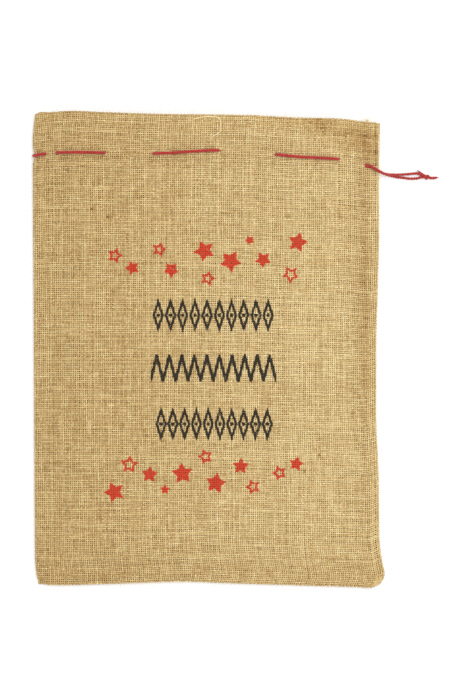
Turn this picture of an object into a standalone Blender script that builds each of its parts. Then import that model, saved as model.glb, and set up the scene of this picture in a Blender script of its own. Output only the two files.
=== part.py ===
"""Fabric gift sack lying flat on its back: one jute cloth folded at the left, seamed inside at the right
and along the bottom, its mouth hem folded in, with a cord threaded through both layers below the mouth.

Metres, +Z up. +Y runs from the bottom seam to the mouth, +X from the folded side to the seamed side.
The origin is the centre of the footprint, on the surface that the sack lies on.
"""

import math

import bmesh
import bpy
import numpy as np

MM = 0.001

# Cloth and clearances, in millimetres.
PLY = 1.1  # one layer of jute
GAP = 0.3  # between neighbouring solids
HEM_GAP = 1.2  # between a panel and its hem, with the hem's stitching in it
CROWN_Z = 15.0  # middle of the front layer where the sack is fullest
EDGE_Z = 5.65  # middle of the front layer at its edges: four plies and their gaps
RISE_STEPS = (6.0, 13.0, 20.0, 28.0, 36.0)  # where the rise in from an edge is sampled
EDGE_RUN = 40.0  # how far in from an edge the front layer reaches its full height
PANEL_INSET = 3.4  # the fold's outer edge to the flat panels
SEAM_ALLOWANCE = 9.5
HEM_DEPTH = 11.0
HEM_INSET_LEFT = 17.0  # the hem starts and ends this far in from the fold and the seam
HEM_INSET_RIGHT = 14.0
SIDE_ENDS = (0.008, 0.992)  # where the side allowance starts and ends, as shares of the height
SEAM_ENDS = (0.012, 0.988)  # and its stitching
BOTTOM_START, BOTTOM_END = -142.0, 134.0  # the bottom allowance, clear of the side one
BOTTOM_LEVEL, TOP_LEVEL = -204.0, 206.0  # the bottom seam and the mouth, to the nearest few millimetres
HEIGHT = TOP_LEVEL - BOTTOM_LEVEL

# Outlines, in millimetres: (share of the height or width, place).
LEFT_EDGE = [(0, -149.8), (0.05, -150.8), (0.2, -151.7), (0.5, -152.3), (0.94, -153.0), (1, -151.4)]
RIGHT_EDGE = [
    (0, 148.5), (0.023, 153.0), (0.05, 151.0), (0.1, 148.6), (0.22, 147.6), (0.38, 145.5),
    (0.55, 145.4), (0.62, 146.9), (0.69, 148.2), (0.75, 149.0), (0.89, 148.7), (1, 149.5),
]
BOTTOM_EDGE = [
    (0, -203.8), (0.07, -205.1), (0.19, -203.3), (0.31, -202.0), (0.42, -201.2), (0.57, -203.3),
    (0.8, -205.4), (0.93, -207.2), (0.965, -207.8), (1, -203.5),
]
TOP_EDGE = [
    (0, 206.3), (0.06, 207.6), (0.1, 207.8), (0.18, 206.9), (0.33, 205.5), (0.47, 205.0),
    (0.63, 203.7), (0.74, 202.2), (0.88, 200.9), (0.93, 199.3), (1, 195.8),
]

# Drawstring, in millimetres. A stitch is the stretch of cord outside the cloth.
CORD_R = 1.0
CORD_LIFT = 2.5  # how far the back layer rides up where the cord passes beneath it
CORD_BAND = 10.0  # how far from the cord the cloth is disturbed
CORD_BAND_ROWS = (-10, -7.5, -5, -2.5, 0, 2.5, 5, 7.5, 10)
CORD_SHARE = 0.91  # the cord's place as a share of the height
LIFT_RUN = 4.0  # along the cord, how fast the back layer drops at a hole
CORD_PINCH = 2.3  # how far the cord pulls the fold in where it wraps round it
BEND_R = 1.5
BEND_STEEPNESS = math.radians(65)
HOLE_R = 2.1
EXIT_X, EXIT_Y = 136.5, 160.6
EXIT_HOLE = (2.1, 3.4)  # half sizes along X and Y: both ends of the cord leave through it
STRAND_SPACING = 2.4
RING_END = 138.5
CORD_LINE = [(-153, 169.5), (-132, 171.5), (-48, 170.3), (10, 173.0), (58, 169.9), (113, 166.1), (140, 160.2)]
FRONT_STITCHES = [(-160.0, -141.9), (-132.3, -89.7), (-48.4, 9.9), (57.9, 113.5)]
BACK_STITCHES = [(-160.0, -128.0), (-112.0, -66.0), (-28.0, 30.0), (75.0, 110.0)]

# Free ends of the cord: where they lie, in millimetres.
UPPER_TAIL = [
    (139.0, 161.8, 8.9), (140.2, 161.5, 8.85), (143.8, 159.6, 8.4), (148.7, 157.0, 7.7),
    (153.5, 155.3, 5.7), (158.5, 154.0, 2.9), (164.8, 153.2, 1.35), (170.9, 153.1, 1.15),
    (176.5, 154.0, 1.15), (182.0, 154.3, 1.15), (187.2, 152.1, 1.4),
]
LOWER_TAIL = [
    (139.0, 159.4, 8.9), (140.2, 159.1, 8.85), (143.8, 157.0, 8.4), (148.7, 154.4, 7.7),
    (153.5, 152.5, 5.7), (158.5, 151.1, 2.9), (164.8, 150.2, 1.35), (171.8, 149.9, 1.15),
    (176.5, 149.1, 1.15), (180.6, 148.9, 1.15), (187.2, 149.8, 1.4),
]
TAIL_STEP = 2.2
KNOT_CENTRE = (191.3, 150.9, 2.15)
KNOT_HALF = (3.6, 2.4, 1.95)
CUT_END = [(195.3, 150.8, 1.6), (197.6, 150.4, 1.3), (200.0, 150.6, 1.15)]
CUT_END_R = 0.9

# Seam stitching, in millimetres.
THREAD_R = 0.3
THREAD_SWING = 0.8
THREAD_PITCH = 8.0
THREAD_INSET = 1.8

JUTE = (0.57, 0.40, 0.17)
JUTE_INSIDE = (0.50, 0.35, 0.15)
THREAD = (0.66, 0.52, 0.28)
RED = (0.48, 0.03, 0.035)


def smooth(t):
    """0 below 0, 1 above 1, and an even S between them."""
    t = np.clip(t, 0.0, 1.0)
    return t * t * (3 - 2 * t)


def through(points, t):
    """The smooth curve y(x) through a few points, never past them, read at t."""
    x, y = np.array(points, float).T
    grade = np.diff(y) / np.diff(x)
    before, after = grade[:-1], grade[1:]
    turning = before * after <= 0
    mean = np.where(turning, 0.0, 2 * before * after / np.where(turning, 1.0, before + after))
    slope = np.concatenate([grade[:1], mean, grade[-1:]])
    t = np.clip(t, x[0], x[-1])
    i = np.clip(np.searchsorted(x, t) - 1, 0, len(x) - 2)
    h = x[i + 1] - x[i]
    s = (t - x[i]) / h
    rise = y[i] * (1 + 2 * s) * (1 - s) ** 2 + y[i + 1] * s * s * (3 - 2 * s)
    return rise + h * (slope[i] * s * (1 - s) ** 2 - slope[i + 1] * s * s * (1 - s))


def bell(t):
    """1 at 0, falling evenly to 0 at -1 and 1."""
    return 0.5 * (1 + np.cos(math.pi * np.clip(t, -1, 1)))


def bottom_y(u):
    return through(BOTTOM_EDGE, u)


def top_y(u):
    return through(TOP_EDGE, u)


def left_x(v):
    y = BOTTOM_LEVEL + HEIGHT * v
    return through(LEFT_EDGE, v) + CORD_PINCH * bell((y - CORD_LINE[0][1]) / 12.0)


def right_x(v):
    return through(RIGHT_EDGE, v)


def cord_y(x):
    return through(CORD_LINE, x)


def place(u, v):
    """The point of the outline map at shares u of the width and v of the height."""
    x = left_x(v) * (1 - u) + right_x(v) * u
    y = bottom_y(u) * (1 - v) + top_y(u) * v
    return x, y


def shares(x, y):
    """The inverse of place, by a few rounds of correction."""
    u, v = 0.5, 0.5
    for _ in range(12):
        u = (x - left_x(v)) / (right_x(v) - left_x(v))
        v = (y - bottom_y(u)) / (top_y(u) - bottom_y(u))
    return float(u), float(v)


def back_lift(x, y):
    """How far the back layer rides up over the stretches of cord beneath it."""
    gate = 0.0
    for start, end in BACK_STITCHES:
        gate = gate + smooth((x - start) / LIFT_RUN + 0.5) * smooth((end - x) / LIFT_RUN + 0.5)
    return CORD_LIFT * gate * bell((y - cord_y(x)) / CORD_BAND)


def back_z(x, y):
    """Middle of the back layer."""
    return PLY / 2 + back_lift(x, y)


def front_z(u, v):
    """Middle of the front layer: low along the fold and the seams, full in the middle and at the mouth."""
    x, y = place(u, v)
    from_left = smooth((x - left_x(v) - PANEL_INSET) / EDGE_RUN)
    from_right = smooth((right_x(v) - x) / EDGE_RUN)
    from_bottom = smooth((y - bottom_y(u)) / EDGE_RUN)
    return EDGE_Z + (CROWN_Z - EDGE_Z) * from_left * from_right * from_bottom


def stations(low, high, step, marks=(), reach=3.0):
    """Places from low to high, at most step apart and closer together round each mark."""
    near = [m + d for m in marks for d in (-reach, 0.0, reach) if low < m + d < high]
    fixed = sorted({low, high, *near})
    found = [fixed[0]]
    for a, b in zip(fixed, fixed[1:]):
        n = max(1, math.ceil((b - a) / step))
        found += [a + (b - a) * k / n for k in range(1, n + 1)]
    return np.array(found)


def material(name, colour, roughness):
    made = bpy.data.materials.new(name)
    made.use_nodes = True
    shader = made.node_tree.nodes["Principled BSDF"]
    shader.inputs["Base Color"].default_value = (*colour, 1)
    shader.inputs["Roughness"].default_value = roughness
    shader.inputs["Metallic"].default_value = 0.0
    return made


def add_object(name, mesh, look):
    made = bpy.data.objects.new(name, mesh)
    bpy.context.scene.collection.objects.link(made)
    mesh.materials.append(look)
    return made


def ply_object(name, middle, look):
    """One layer of cloth round a grid of points along its middle."""
    middle = np.array(middle, float)
    along, across = np.gradient(middle, axis=0), np.gradient(middle, axis=1)
    normal = np.cross(along, across)
    normal /= np.linalg.norm(normal, axis=2, keepdims=True)
    rows, columns = middle.shape[:2]
    above, below = middle + normal * PLY / 2, middle - normal * PLY / 2
    bm = bmesh.new()
    up = [[bm.verts.new(p * MM) for p in row] for row in above]
    down = [[bm.verts.new(p * MM) for p in row] for row in below]
    for i in range(rows - 1):
        for j in range(columns - 1):
            bm.faces.new((up[i][j], up[i + 1][j], up[i + 1][j + 1], up[i][j + 1]))
            bm.faces.new((down[i][j], down[i][j + 1], down[i + 1][j + 1], down[i + 1][j]))
    rim = [(i, 0) for i in range(rows)] + [(rows - 1, j) for j in range(1, columns)]
    rim += [(i, columns - 1) for i in range(rows - 2, -1, -1)] + [(0, j) for j in range(columns - 2, 0, -1)]
    for (i, j), (k, m) in zip(rim, rim[1:] + rim[:1]):
        bm.faces.new((up[k][m], up[i][j], down[i][j], down[k][m]))
    bmesh.ops.triangulate(bm, faces=bm.faces)
    bmesh.ops.recalc_face_normals(bm, faces=bm.faces)
    mesh = bpy.data.meshes.new(name)
    bm.to_mesh(mesh)
    bm.free()
    mesh.shade_smooth()
    mesh.set_sharp_from_angle(angle=math.radians(40))
    return add_object(name, mesh, look)


def pierce(target, holes):
    """Cuts upright oval holes, each (x, y, half size along X, half size along Y), right through a layer."""
    bm = bmesh.new()
    for x, y, rx, ry in holes:
        made = bmesh.ops.create_cone(bm, segments=12, radius1=1, radius2=1, depth=60 * MM, cap_ends=True)
        bmesh.ops.scale(bm, verts=made["verts"], vec=(rx * MM, ry * MM, 1))
        bmesh.ops.translate(bm, verts=made["verts"], vec=(x * MM, y * MM, 7 * MM))
    mesh = bpy.data.meshes.new(target.name + "_holes")
    bm.to_mesh(mesh)
    bm.free()
    cutter = bpy.data.objects.new(mesh.name, mesh)
    bpy.context.scene.collection.objects.link(cutter)
    cutter.hide_render = True
    cutter.display_type = "WIRE"
    cut = target.modifiers.new("cord holes", "BOOLEAN")
    cut.operation = "DIFFERENCE"
    cut.object = cutter


def hole_places(stitches, low):
    """A round hole at each end of each stitch, from x = low rightwards."""
    ends = [x for stitch in stitches for x in stitch if x > low]
    return [(x, float(cord_y(x)), HOLE_R, HOLE_R) for x in ends]


def panel_start():
    """Where the flat panels start along X, at the cord's height."""
    return float(left_x(CORD_SHARE)) + PANEL_INSET


def panel_end():
    return float(right_x(CORD_SHARE))


def cloth_grid(us, rows, height):
    """Points of a layer right of the fold, at shares us of its width, in rows(bottom, cord, top) of Y."""
    grid = []
    for u in us:
        whole = shares(panel_start() * (1 - u) + panel_end() * u, CORD_LINE[0][1])[0]
        bottom, top = float(bottom_y(whole)), float(top_y(whole))
        cord = float(cord_y(place(whole, CORD_SHARE)[0]))
        column = []
        for y in rows(bottom, cord, top):
            v = (y - bottom) / (top - bottom)
            start = float(left_x(v)) + PANEL_INSET
            x = start * (1 - u) + float(right_x(v)) * u
            column.append((x, y, height(float((x - left_x(v)) / (right_x(v) - left_x(v))), v, x, y)))
        grid.append(column)
    return grid


def across(stitches, step):
    """Shares of a layer's width: close together at the edges' rise and at the cord's holes."""
    start, end = panel_start(), panel_end()
    ends = [x for stitch in stitches for x in stitch if x > start]
    places = [x + d for x in ends for d in (-LIFT_RUN / 2, LIFT_RUN / 2)]
    places += [start + d for d in RISE_STEPS] + [end - d for d in RISE_STEPS]
    return (stations(start, end, step, places, 0.0) - start) / (end - start)


def panel_rows(steps):
    """Rows from the bottom to the mouth, close together along the bottom's rise and along the cord."""

    def rows(bottom, cord, top):
        rise = [bottom] + [bottom + d for d in RISE_STEPS if steps > 1]
        low = cord - CORD_BAND
        body = [rise[-1] + (low - rise[-1]) * k / steps for k in range(1, steps)]
        return rise + body + [cord + d for d in CORD_BAND_ROWS] + [top]

    return rows


def hem_rows(bottom, cord, top):
    return [top - HEM_DEPTH, top]


def front_height(u, v, x, y):
    return float(front_z(u, v))


def back_height(u, v, x, y):
    return float(back_z(x, y))


def front_panel(look):
    grid = cloth_grid(across(FRONT_STITCHES, 30), panel_rows(8), front_height)
    made = ply_object("front_panel", grid, look)
    pierce(made, hole_places(FRONT_STITCHES, -150) + [(EXIT_X, EXIT_Y, *EXIT_HOLE)])


def back_panel(look):
    made = ply_object("back_panel", cloth_grid(across(BACK_STITCHES, 30), panel_rows(1), back_height), look)
    pierce(made, hole_places(BACK_STITCHES, -150))


def left_fold(look):
    """The cloth turning over from the back layer to the front one."""
    grid = []
    bottom, cord, top = float(bottom_y(0)), CORD_LINE[0][1], float(top_y(0))
    for y in panel_rows(8)(bottom, cord, top):
        v = (y - bottom) / (top - bottom)
        edge = float(left_x(v))
        low = float(back_z(edge + PANEL_INSET, y))
        radius = (EDGE_Z - low) / 2
        centre = edge + PLY / 2 + radius
        row = [(edge + PANEL_INSET - GAP, y, low)]
        for k in range(9):
            angle = math.radians(-90 - 180 * k / 8)
            row.append((centre + radius * math.cos(angle), y, (low + EDGE_Z) / 2 + radius * math.sin(angle)))
        row.append((edge + PANEL_INSET - GAP, y, EDGE_Z))
        grid.append(row)
    ply_object("left_fold", grid, look)


def hem_facing(name, stitches, height, offset, look):
    """The mouth's edge folded in: a ply inside its panel."""
    width = panel_end() - panel_start()
    low = (HEM_INSET_LEFT - PANEL_INSET) / width
    high = 1 - HEM_INSET_RIGHT / width
    us = [low] + [u for u in across(stitches, 30) if low < u < high] + [high]
    ply_object(name, cloth_grid(us, hem_rows, lambda u, v, x, y: height(u, v, x, y) + offset), look)


def allowance(name, side, level, look):
    """A seam allowance turned in: a flat ply along the seamed side or the bottom, at one level."""
    z = PLY / 2 + level * (PLY + GAP)
    z += 2 * THREAD_R + GAP if level > 1 else 0.0
    grid = []
    for t in stations(0, 1, 0.06):
        if side == "side":
            x, y = place(1.0, SIDE_ENDS[0] + (SIDE_ENDS[1] - SIDE_ENDS[0]) * t)
            row = [(x - SEAM_ALLOWANCE, y, z), (x, y, z)]
        else:
            x = BOTTOM_START + (BOTTOM_END - BOTTOM_START) * t
            u = shares(x, BOTTOM_LEVEL)[0]
            row = [(x, float(bottom_y(u)) + SEAM_ALLOWANCE, z), (x, float(bottom_y(u)), z)]
        grid.append(row)
    ply_object(name, grid, look)


def tube(name, points, radius, sides, look):
    """A cord along points: a poly curve with filled ends."""
    curve = bpy.data.curves.new(name, "CURVE")
    curve.dimensions = "3D"
    spline = curve.splines.new("POLY")
    spline.points.add(len(points) - 1)
    for point, place_mm in zip(spline.points, points):
        point.co = (place_mm[0] * MM, place_mm[1] * MM, place_mm[2] * MM, 1)
    curve.bevel_depth = radius * MM
    curve.bevel_resolution = sides // 4
    curve.use_fill_caps = True
    return add_object(name, curve, look)


def seam_threads(look):
    """The stitching between each pair of allowance plies, zigzagging along the seam."""
    z = 2 * (PLY + GAP) + THREAD_R
    points = []
    for k, t in enumerate(np.arange(SEAM_ENDS[0], SEAM_ENDS[1], THREAD_PITCH / 2 / HEIGHT)):
        x, y = place(1.0, t)
        points.append((float(x) - THREAD_INSET + (-1) ** k * THREAD_SWING, float(y), z))
    tube("side_seam_thread", points, THREAD_R, 4, look)
    points = []
    for k, x in enumerate(np.arange(BOTTOM_START + 1, BOTTOM_END - 1, THREAD_PITCH / 2)):
        y = float(bottom_y(shares(x, BOTTOM_LEVEL)[0]))
        points.append((x, y + THREAD_INSET + (-1) ** k * THREAD_SWING, z))
    tube("bottom_seam_thread", points, THREAD_R, 4, look)


def hem_thread(name, stitches, height, offset, look):
    """The stitching between a panel and its hem, zigzagging along the hem's lower edge."""
    start, end = panel_start(), panel_end()
    columns = start + (end - start) * across(stitches, 30)
    heights = []
    for x in columns:
        u, v = shares(x, TOP_LEVEL - HEM_DEPTH)
        heights.append(height(u, v, x, TOP_LEVEL - HEM_DEPTH))
    points = []
    for k, x in enumerate(np.arange(start + HEM_INSET_LEFT, end - HEM_INSET_RIGHT, THREAD_PITCH / 2)):
        hem_edge = float(top_y(shares(x, TOP_LEVEL)[0])) - HEM_DEPTH
        y = hem_edge + THREAD_INSET + (-1) ** k * THREAD_SWING
        points.append((x, y, float(np.interp(x, columns, heights)) + offset))
    tube(name, points, THREAD_R, 4, look)


def crossing(x, direction, start, end):
    """The cord's side view through a hole at x: a bend, a steep stretch and a bend back, as (x, z) points."""
    rise = end - start
    run_up = (abs(rise) - 2 * BEND_R * (1 - math.cos(BEND_STEEPNESS))) / math.sin(BEND_STEEPNESS)
    half = BEND_R * math.sin(BEND_STEEPNESS) + run_up * math.cos(BEND_STEEPNESS) / 2
    way = math.copysign(1, rise)
    points = []
    for k in range(4):
        angle = BEND_STEEPNESS * k / 3
        away = BEND_R * math.sin(angle)
        drop = BEND_R * (1 - math.cos(angle))
        points.append((x + direction * (away - half), start + way * drop))
    for px, pz in reversed(points[:]):
        points.append((2 * x - px, start + end - pz))
    return points


def front_level(x, y, outside):
    """The cord's height over the front layer, or under it."""
    u, v = shares(x, y)
    away = PLY / 2 + GAP + CORD_R
    return float(front_z(u, v)) + (away if outside else -away)


def back_level(x, y, outside):
    """The cord's height beneath the back layer, or over it."""
    return CORD_R + 0.2 if outside else PLY + GAP + CORD_R


def threaded(xs_from, xs_to, stitches, level, shift):
    """The cord's line through one layer, between two places along X."""
    direction = 1 if xs_to > xs_from else -1
    ends = sorted((x for stitch in stitches for x in stitch if x > -150), reverse=direction < 0)
    points, last = [], xs_from
    for x in ends + [xs_to]:
        outside = any(a < (x + last) / 2 < b for a, b in stitches)
        margin = 4.0 if last != xs_from else 0.0
        reach = 4.0 if x != xs_to else 0.0
        run = stations(min(last, x) + (margin if direction > 0 else reach),
                       max(last, x) - (reach if direction > 0 else margin), 7.5)
        for px in run if direction > 0 else run[::-1]:
            y = float(cord_y(px)) + shift
            points.append((px, y, level(px, y, outside)))
        if x != xs_to:
            y = float(cord_y(x)) + shift
            start, end = level(x - direction * 3, y, outside), level(x + direction * 3, y, not outside)
            points += [(px, float(cord_y(px)) + shift, pz) for px, pz in crossing(x, direction, start, end)]
        last = x
    return points


def ring_points():
    """The cord from its exit, left along the front, round the fold and back along the back to the exit."""
    upper, lower = EXIT_Y + STRAND_SPACING / 2, EXIT_Y - STRAND_SPACING / 2
    over = front_level(RING_END, EXIT_Y, True)
    under = front_level(EXIT_X, EXIT_Y, False)
    leave = crossing(EXIT_X, 1, under, over)
    first = [(RING_END, upper, over)] + [(x, upper, z) for x, z in reversed(leave)]
    front = threaded(130.0, -148.0, FRONT_STITCHES, front_level, 0.0)
    wrap = []
    y = CORD_LINE[0][1]
    edge = float(left_x(shares(-150, y)[1]))
    low = float(back_z(edge + PANEL_INSET, y))
    centre_x, centre_z = edge + PLY / 2 + (EDGE_Z - low) / 2, (EDGE_Z + low) / 2
    radius = (EDGE_Z - low) / 2 + PLY / 2 + GAP + CORD_R
    for k in range(9):
        angle = math.radians(90 + 180 * k / 8)
        wrap.append((centre_x + radius * math.cos(angle), y, centre_z + radius * math.sin(angle)))
    back = threaded(-145.0, 122.0, BACK_STITCHES, back_level, 0.0)
    climb = [(128.5, lower + 2.0, 4.1), (131.6, lower + 0.6, under - 0.1)]
    last = [(x, lower, z) for x, z in leave] + [(RING_END, lower, over)]
    return first + front + wrap + back + climb + last


def smooth_route(points, step):
    """Evenly spaced points on the smooth curve through a route's own points."""
    points = np.array(points, float)
    along = np.concatenate([[0], np.cumsum(np.linalg.norm(np.diff(points, axis=0), axis=1))])
    t = np.linspace(0, along[-1], max(2, math.ceil(along[-1] / step) + 1))
    return np.stack([through(list(zip(along, points[:, k])), t) for k in range(3)], axis=1)


def knot(look):
    bm = bmesh.new()
    bmesh.ops.create_uvsphere(bm, u_segments=16, v_segments=10, radius=1)
    bmesh.ops.scale(bm, verts=bm.verts, vec=[half * MM for half in KNOT_HALF])
    bmesh.ops.translate(bm, verts=bm.verts, vec=[c * MM for c in KNOT_CENTRE])
    mesh = bpy.data.meshes.new("drawstring_knot")
    bm.to_mesh(mesh)
    bm.free()
    mesh.shade_smooth()
    return add_object("drawstring_knot", mesh, look)


def drawstring(look):
    """The cord's five stretches, all on one empty at the exit, where the cord slides along X."""
    pull = bpy.data.objects.new("drawstring_pull_axis", None)
    bpy.context.scene.collection.objects.link(pull)
    pull.location = (EXIT_X * MM, EXIT_Y * MM, CORD_R * MM)
    bpy.context.view_layer.update()
    made = [
        tube("drawstring_ring", ring_points(), CORD_R, 8, look),
        tube("drawstring_tail_upper", smooth_route(UPPER_TAIL, TAIL_STEP), CORD_R, 8, look),
        tube("drawstring_tail_lower", smooth_route(LOWER_TAIL, TAIL_STEP), CORD_R, 8, look),
        knot(look),
        tube("drawstring_cut_end", smooth_route(CUT_END, TAIL_STEP), CUT_END_R, 8, look),
    ]
    for piece in made:
        piece.parent = pull
        piece.matrix_parent_inverse = pull.matrix_world.inverted()


def main():
    for old in list(bpy.data.objects):
        bpy.data.objects.remove(old)
    jute = material("jute", JUTE, 0.95)
    inside = material("jute_inside", JUTE_INSIDE, 0.95)
    thread = material("seam_thread", THREAD, 0.8)
    red = material("red_cord", RED, 0.7)
    front_panel(jute)
    back_panel(jute)
    left_fold(jute)
    hem_facing("front_hem_facing", FRONT_STITCHES, front_height, -PLY - HEM_GAP, inside)
    hem_facing("back_hem_facing", BACK_STITCHES, back_height, PLY + HEM_GAP, inside)
    allowance("side_allowance_back", "side", 1, inside)
    allowance("side_allowance_front", "side", 2, inside)
    allowance("bottom_allowance_back", "bottom", 1, inside)
    allowance("bottom_allowance_front", "bottom", 2, inside)
    seam_threads(thread)
    away = PLY / 2 + GAP + THREAD_R
    hem_thread("front_hem_thread", FRONT_STITCHES, front_height, -away, thread)
    hem_thread("back_hem_thread", BACK_STITCHES, back_height, away, thread)
    drawstring(red)


main()
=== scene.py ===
"""Looks of a fabric gift sack lying flat. Its cloth is made of single jute yarns that go over and under
each other, printed on the front, with seams and a hem turned in and a twisted red cord threaded below
the mouth.

Lengths are millimetres until a mesh is made, in the frame's own axes: +Y from the bottom seam to the
mouth, +X from the fold to the seamed side, +Z up.
"""

import math
from functools import partialmethod

import bpy
import numpy as np
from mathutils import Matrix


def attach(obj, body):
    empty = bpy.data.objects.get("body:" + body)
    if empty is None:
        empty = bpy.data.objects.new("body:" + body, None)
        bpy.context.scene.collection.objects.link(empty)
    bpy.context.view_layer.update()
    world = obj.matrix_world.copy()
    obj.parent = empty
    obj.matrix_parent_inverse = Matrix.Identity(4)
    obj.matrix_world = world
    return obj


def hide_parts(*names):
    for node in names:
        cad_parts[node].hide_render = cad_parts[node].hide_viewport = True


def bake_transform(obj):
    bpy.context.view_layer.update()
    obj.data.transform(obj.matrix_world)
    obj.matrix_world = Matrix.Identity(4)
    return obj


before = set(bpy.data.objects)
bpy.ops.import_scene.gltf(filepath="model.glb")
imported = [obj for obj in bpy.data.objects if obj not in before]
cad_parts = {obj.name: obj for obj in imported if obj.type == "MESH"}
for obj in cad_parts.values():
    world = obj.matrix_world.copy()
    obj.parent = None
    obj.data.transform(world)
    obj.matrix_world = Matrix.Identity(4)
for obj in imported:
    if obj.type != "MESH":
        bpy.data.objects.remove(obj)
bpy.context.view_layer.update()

MM = 0.001

# ---- the sack's shape, as in the CAD model
PLY = 1.1  # the cloth's thickness
GAP = 0.3  # between the cord and the cloth
CROWN_Z = 15.0  # middle of the front layer where the sack is fullest
EDGE_Z = 5.65  # middle of the front layer at its edges
EDGE_RUN = 40.0  # how far in from its edges it rises
CORNER_Z, CORNER_RUN, CORNER_RISE = 2.0, 8.0, 16.0  # the bottom corner at the fold, pressed flat
PANEL_INSET = 3.4  # from the fold's outside to where the front layer starts to rise
SEAM_INSET = 0.6  # the panels' last yarn lies this far inside the seamed side
HEM_INSET_LEFT, HEM_INSET_RIGHT = 17.0, 14.0  # the hem ends this far short of the panel's sides
BOTTOM_START, BOTTOM_END = -142.0, 139.5  # the bottom seam's allowances lie between these
BOTTOM_LEVEL, TOP_LEVEL = -204.0, 206.0
HEIGHT = TOP_LEVEL - BOTTOM_LEVEL
# The outline: (share of the height, X) for the sides, (share of the width, Y) for the bottom and the mouth.
LEFT_EDGE = [(0, -150.5), (0.05, -151.4), (0.2, -151.9), (0.5, -152.5), (0.94, -153.5), (1, -151.6)]
RIGHT_EDGE = [
    (0, 150.4), (0.02, 153.8), (0.05, 151.5), (0.1, 149.2), (0.22, 148.7), (0.38, 146.4),
    (0.52, 146.5), (0.6, 147.4), (0.69, 148.4), (0.75, 149.0), (0.89, 148.9), (1, 149.8),
]
BOTTOM_EDGE = [
    (0, -205.0), (0.07, -205.2), (0.19, -204.4), (0.31, -203.2), (0.42, -202.1), (0.57, -203.6),
    (0.8, -205.7), (0.93, -206.9), (0.965, -207.7), (1, -203.9),
]
TOP_EDGE = [
    (0, 206.3), (0.06, 207.8), (0.1, 207.8), (0.18, 206.8), (0.33, 205.2), (0.42, 204.6), (0.5, 204.4),
    (0.63, 203.9), (0.715, 202.3), (0.78, 201.5), (0.84, 201.2), (0.89, 200.5), (0.95, 199.2), (1, 198.2),
]

# The drawstring. A stitch is the stretch of cord outside the cloth, from one X to another.
CORD_R = 1.0
CORD_LIFT, CORD_BAND, LIFT_RUN = 2.5, 10.0, 4.0  # how far the cord beneath lifts the back layer, and where
CORD_PINCH = 2.3  # how far inside the outline the cord turns round the fold
CLOTH_PINCH, CLOTH_PINCH_RUN = 0.6, 7.0  # how deep and how far along the fold the cord presses the cloth in
BEND_R = 1.5
BEND_STEEPNESS = math.radians(65)
CORD_CLEAR = 4.0  # the cord is straight from this far beside the middle of a crossing
ROUND_FOLD = -150.0  # the stitches that start left of this go on round the fold
EXIT_X, EXIT_Y = 136.5, 160.6
STRAND_SPACING = 2.4
CORD_LINE = [
    (-153, 169.5), (-132, 171.5), (-48, 170.3), (10, 173.0), (58, 169.5), (80, 167.3), (113, 165.4),
    (140, 160.2),
]
FRONT_STITCHES = [(-160.0, -141.9), (-131.9, -90.1), (-47.1, 9.2), (59.0, 113.0)]
BACK_STITCHES = [(-160.0, -128.0), (-112.0, -66.0), (-28.0, 30.0), (75.0, 110.0)]
# The tails leave the hole with one strand lying on the other, and part beyond the cloth's edge.
UPPER_TAIL = [
    (141.0, 160.2, 10.1), (143.0, 159.3, 9.9), (145.5, 157.9, 9.5), (149.5, 155.6, 8.6),
    (154.8, 153.5, 6.2), (160.4, 153.0, 3.7), (166.1, 153.1, 2.3), (171.3, 153.5, 1.4),
    (176.5, 153.9, 1.2), (182.2, 154.4, 1.2), (186.5, 152.8, 1.7),
]
LOWER_TAIL = [
    (141.0, 159.6, 8.3), (143.0, 158.7, 8.1), (145.5, 157.2, 7.7), (149.5, 155.2, 6.7),
    (154.8, 153.2, 4.3), (160.4, 152.0, 2.0), (166.1, 150.9, 1.2), (171.3, 150.4, 1.2),
    (176.5, 149.7, 1.2), (182.2, 149.9, 1.2), (186.5, 150.8, 1.5),
]
HOLE_X, HOLE_Y = 138.6, 160.8  # where they come out of the front layer
KNOT_CENTRE, KNOT_CORD_R = (190.9, 151.1, 2.15), 0.80
IN_KNOT = (189.6, 151.0, 2.0)  # where the tails end, hidden in the knot
CUT_END = [(192.6, 150.9, 2.0), (195.0, 150.3, 1.6), (197.6, 150.3, 1.4), (199.8, 150.7, 1.3)]
SHORT_END = [(189.0, 152.4, 2.5), (187.2, 153.5, 2.7), (185.4, 154.7, 2.6), (184.0, 156.0, 2.3)]
TWIST = 4.6  # the cord's length for one turn of its two plies
CORD_SIDES = 12

# The soft shape of a cloth that was folded and pressed.
WAVES = [(0.85, 11, 105.0), (0.28, 12, 42.0)]  # (height, seed, wavelength)
CALM_BAND, CALM_RUN, LOOSE_RUN = 4.0, 16.0, 30.0  # waves keep off the cord, and grow inwards from the edges
PUCKER, PUCKER_BAND, PUCKER_LENGTH = 0.42, 17.0, 21.0  # small creases that the cord makes
SIDE_RIDGES = [(0.55, 6.0, 6.0), (-0.75, 16.0, 8.0)]  # (height, distance in from the seam, half width)
BOTTOM_RIDGES = [(0.45, 6.0, 6.0), (-0.50, 16.0, 8.0)]
BACK_LIP = 1.6  # how far the back layer shows past the front one at the mouth, beside the fold

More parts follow.
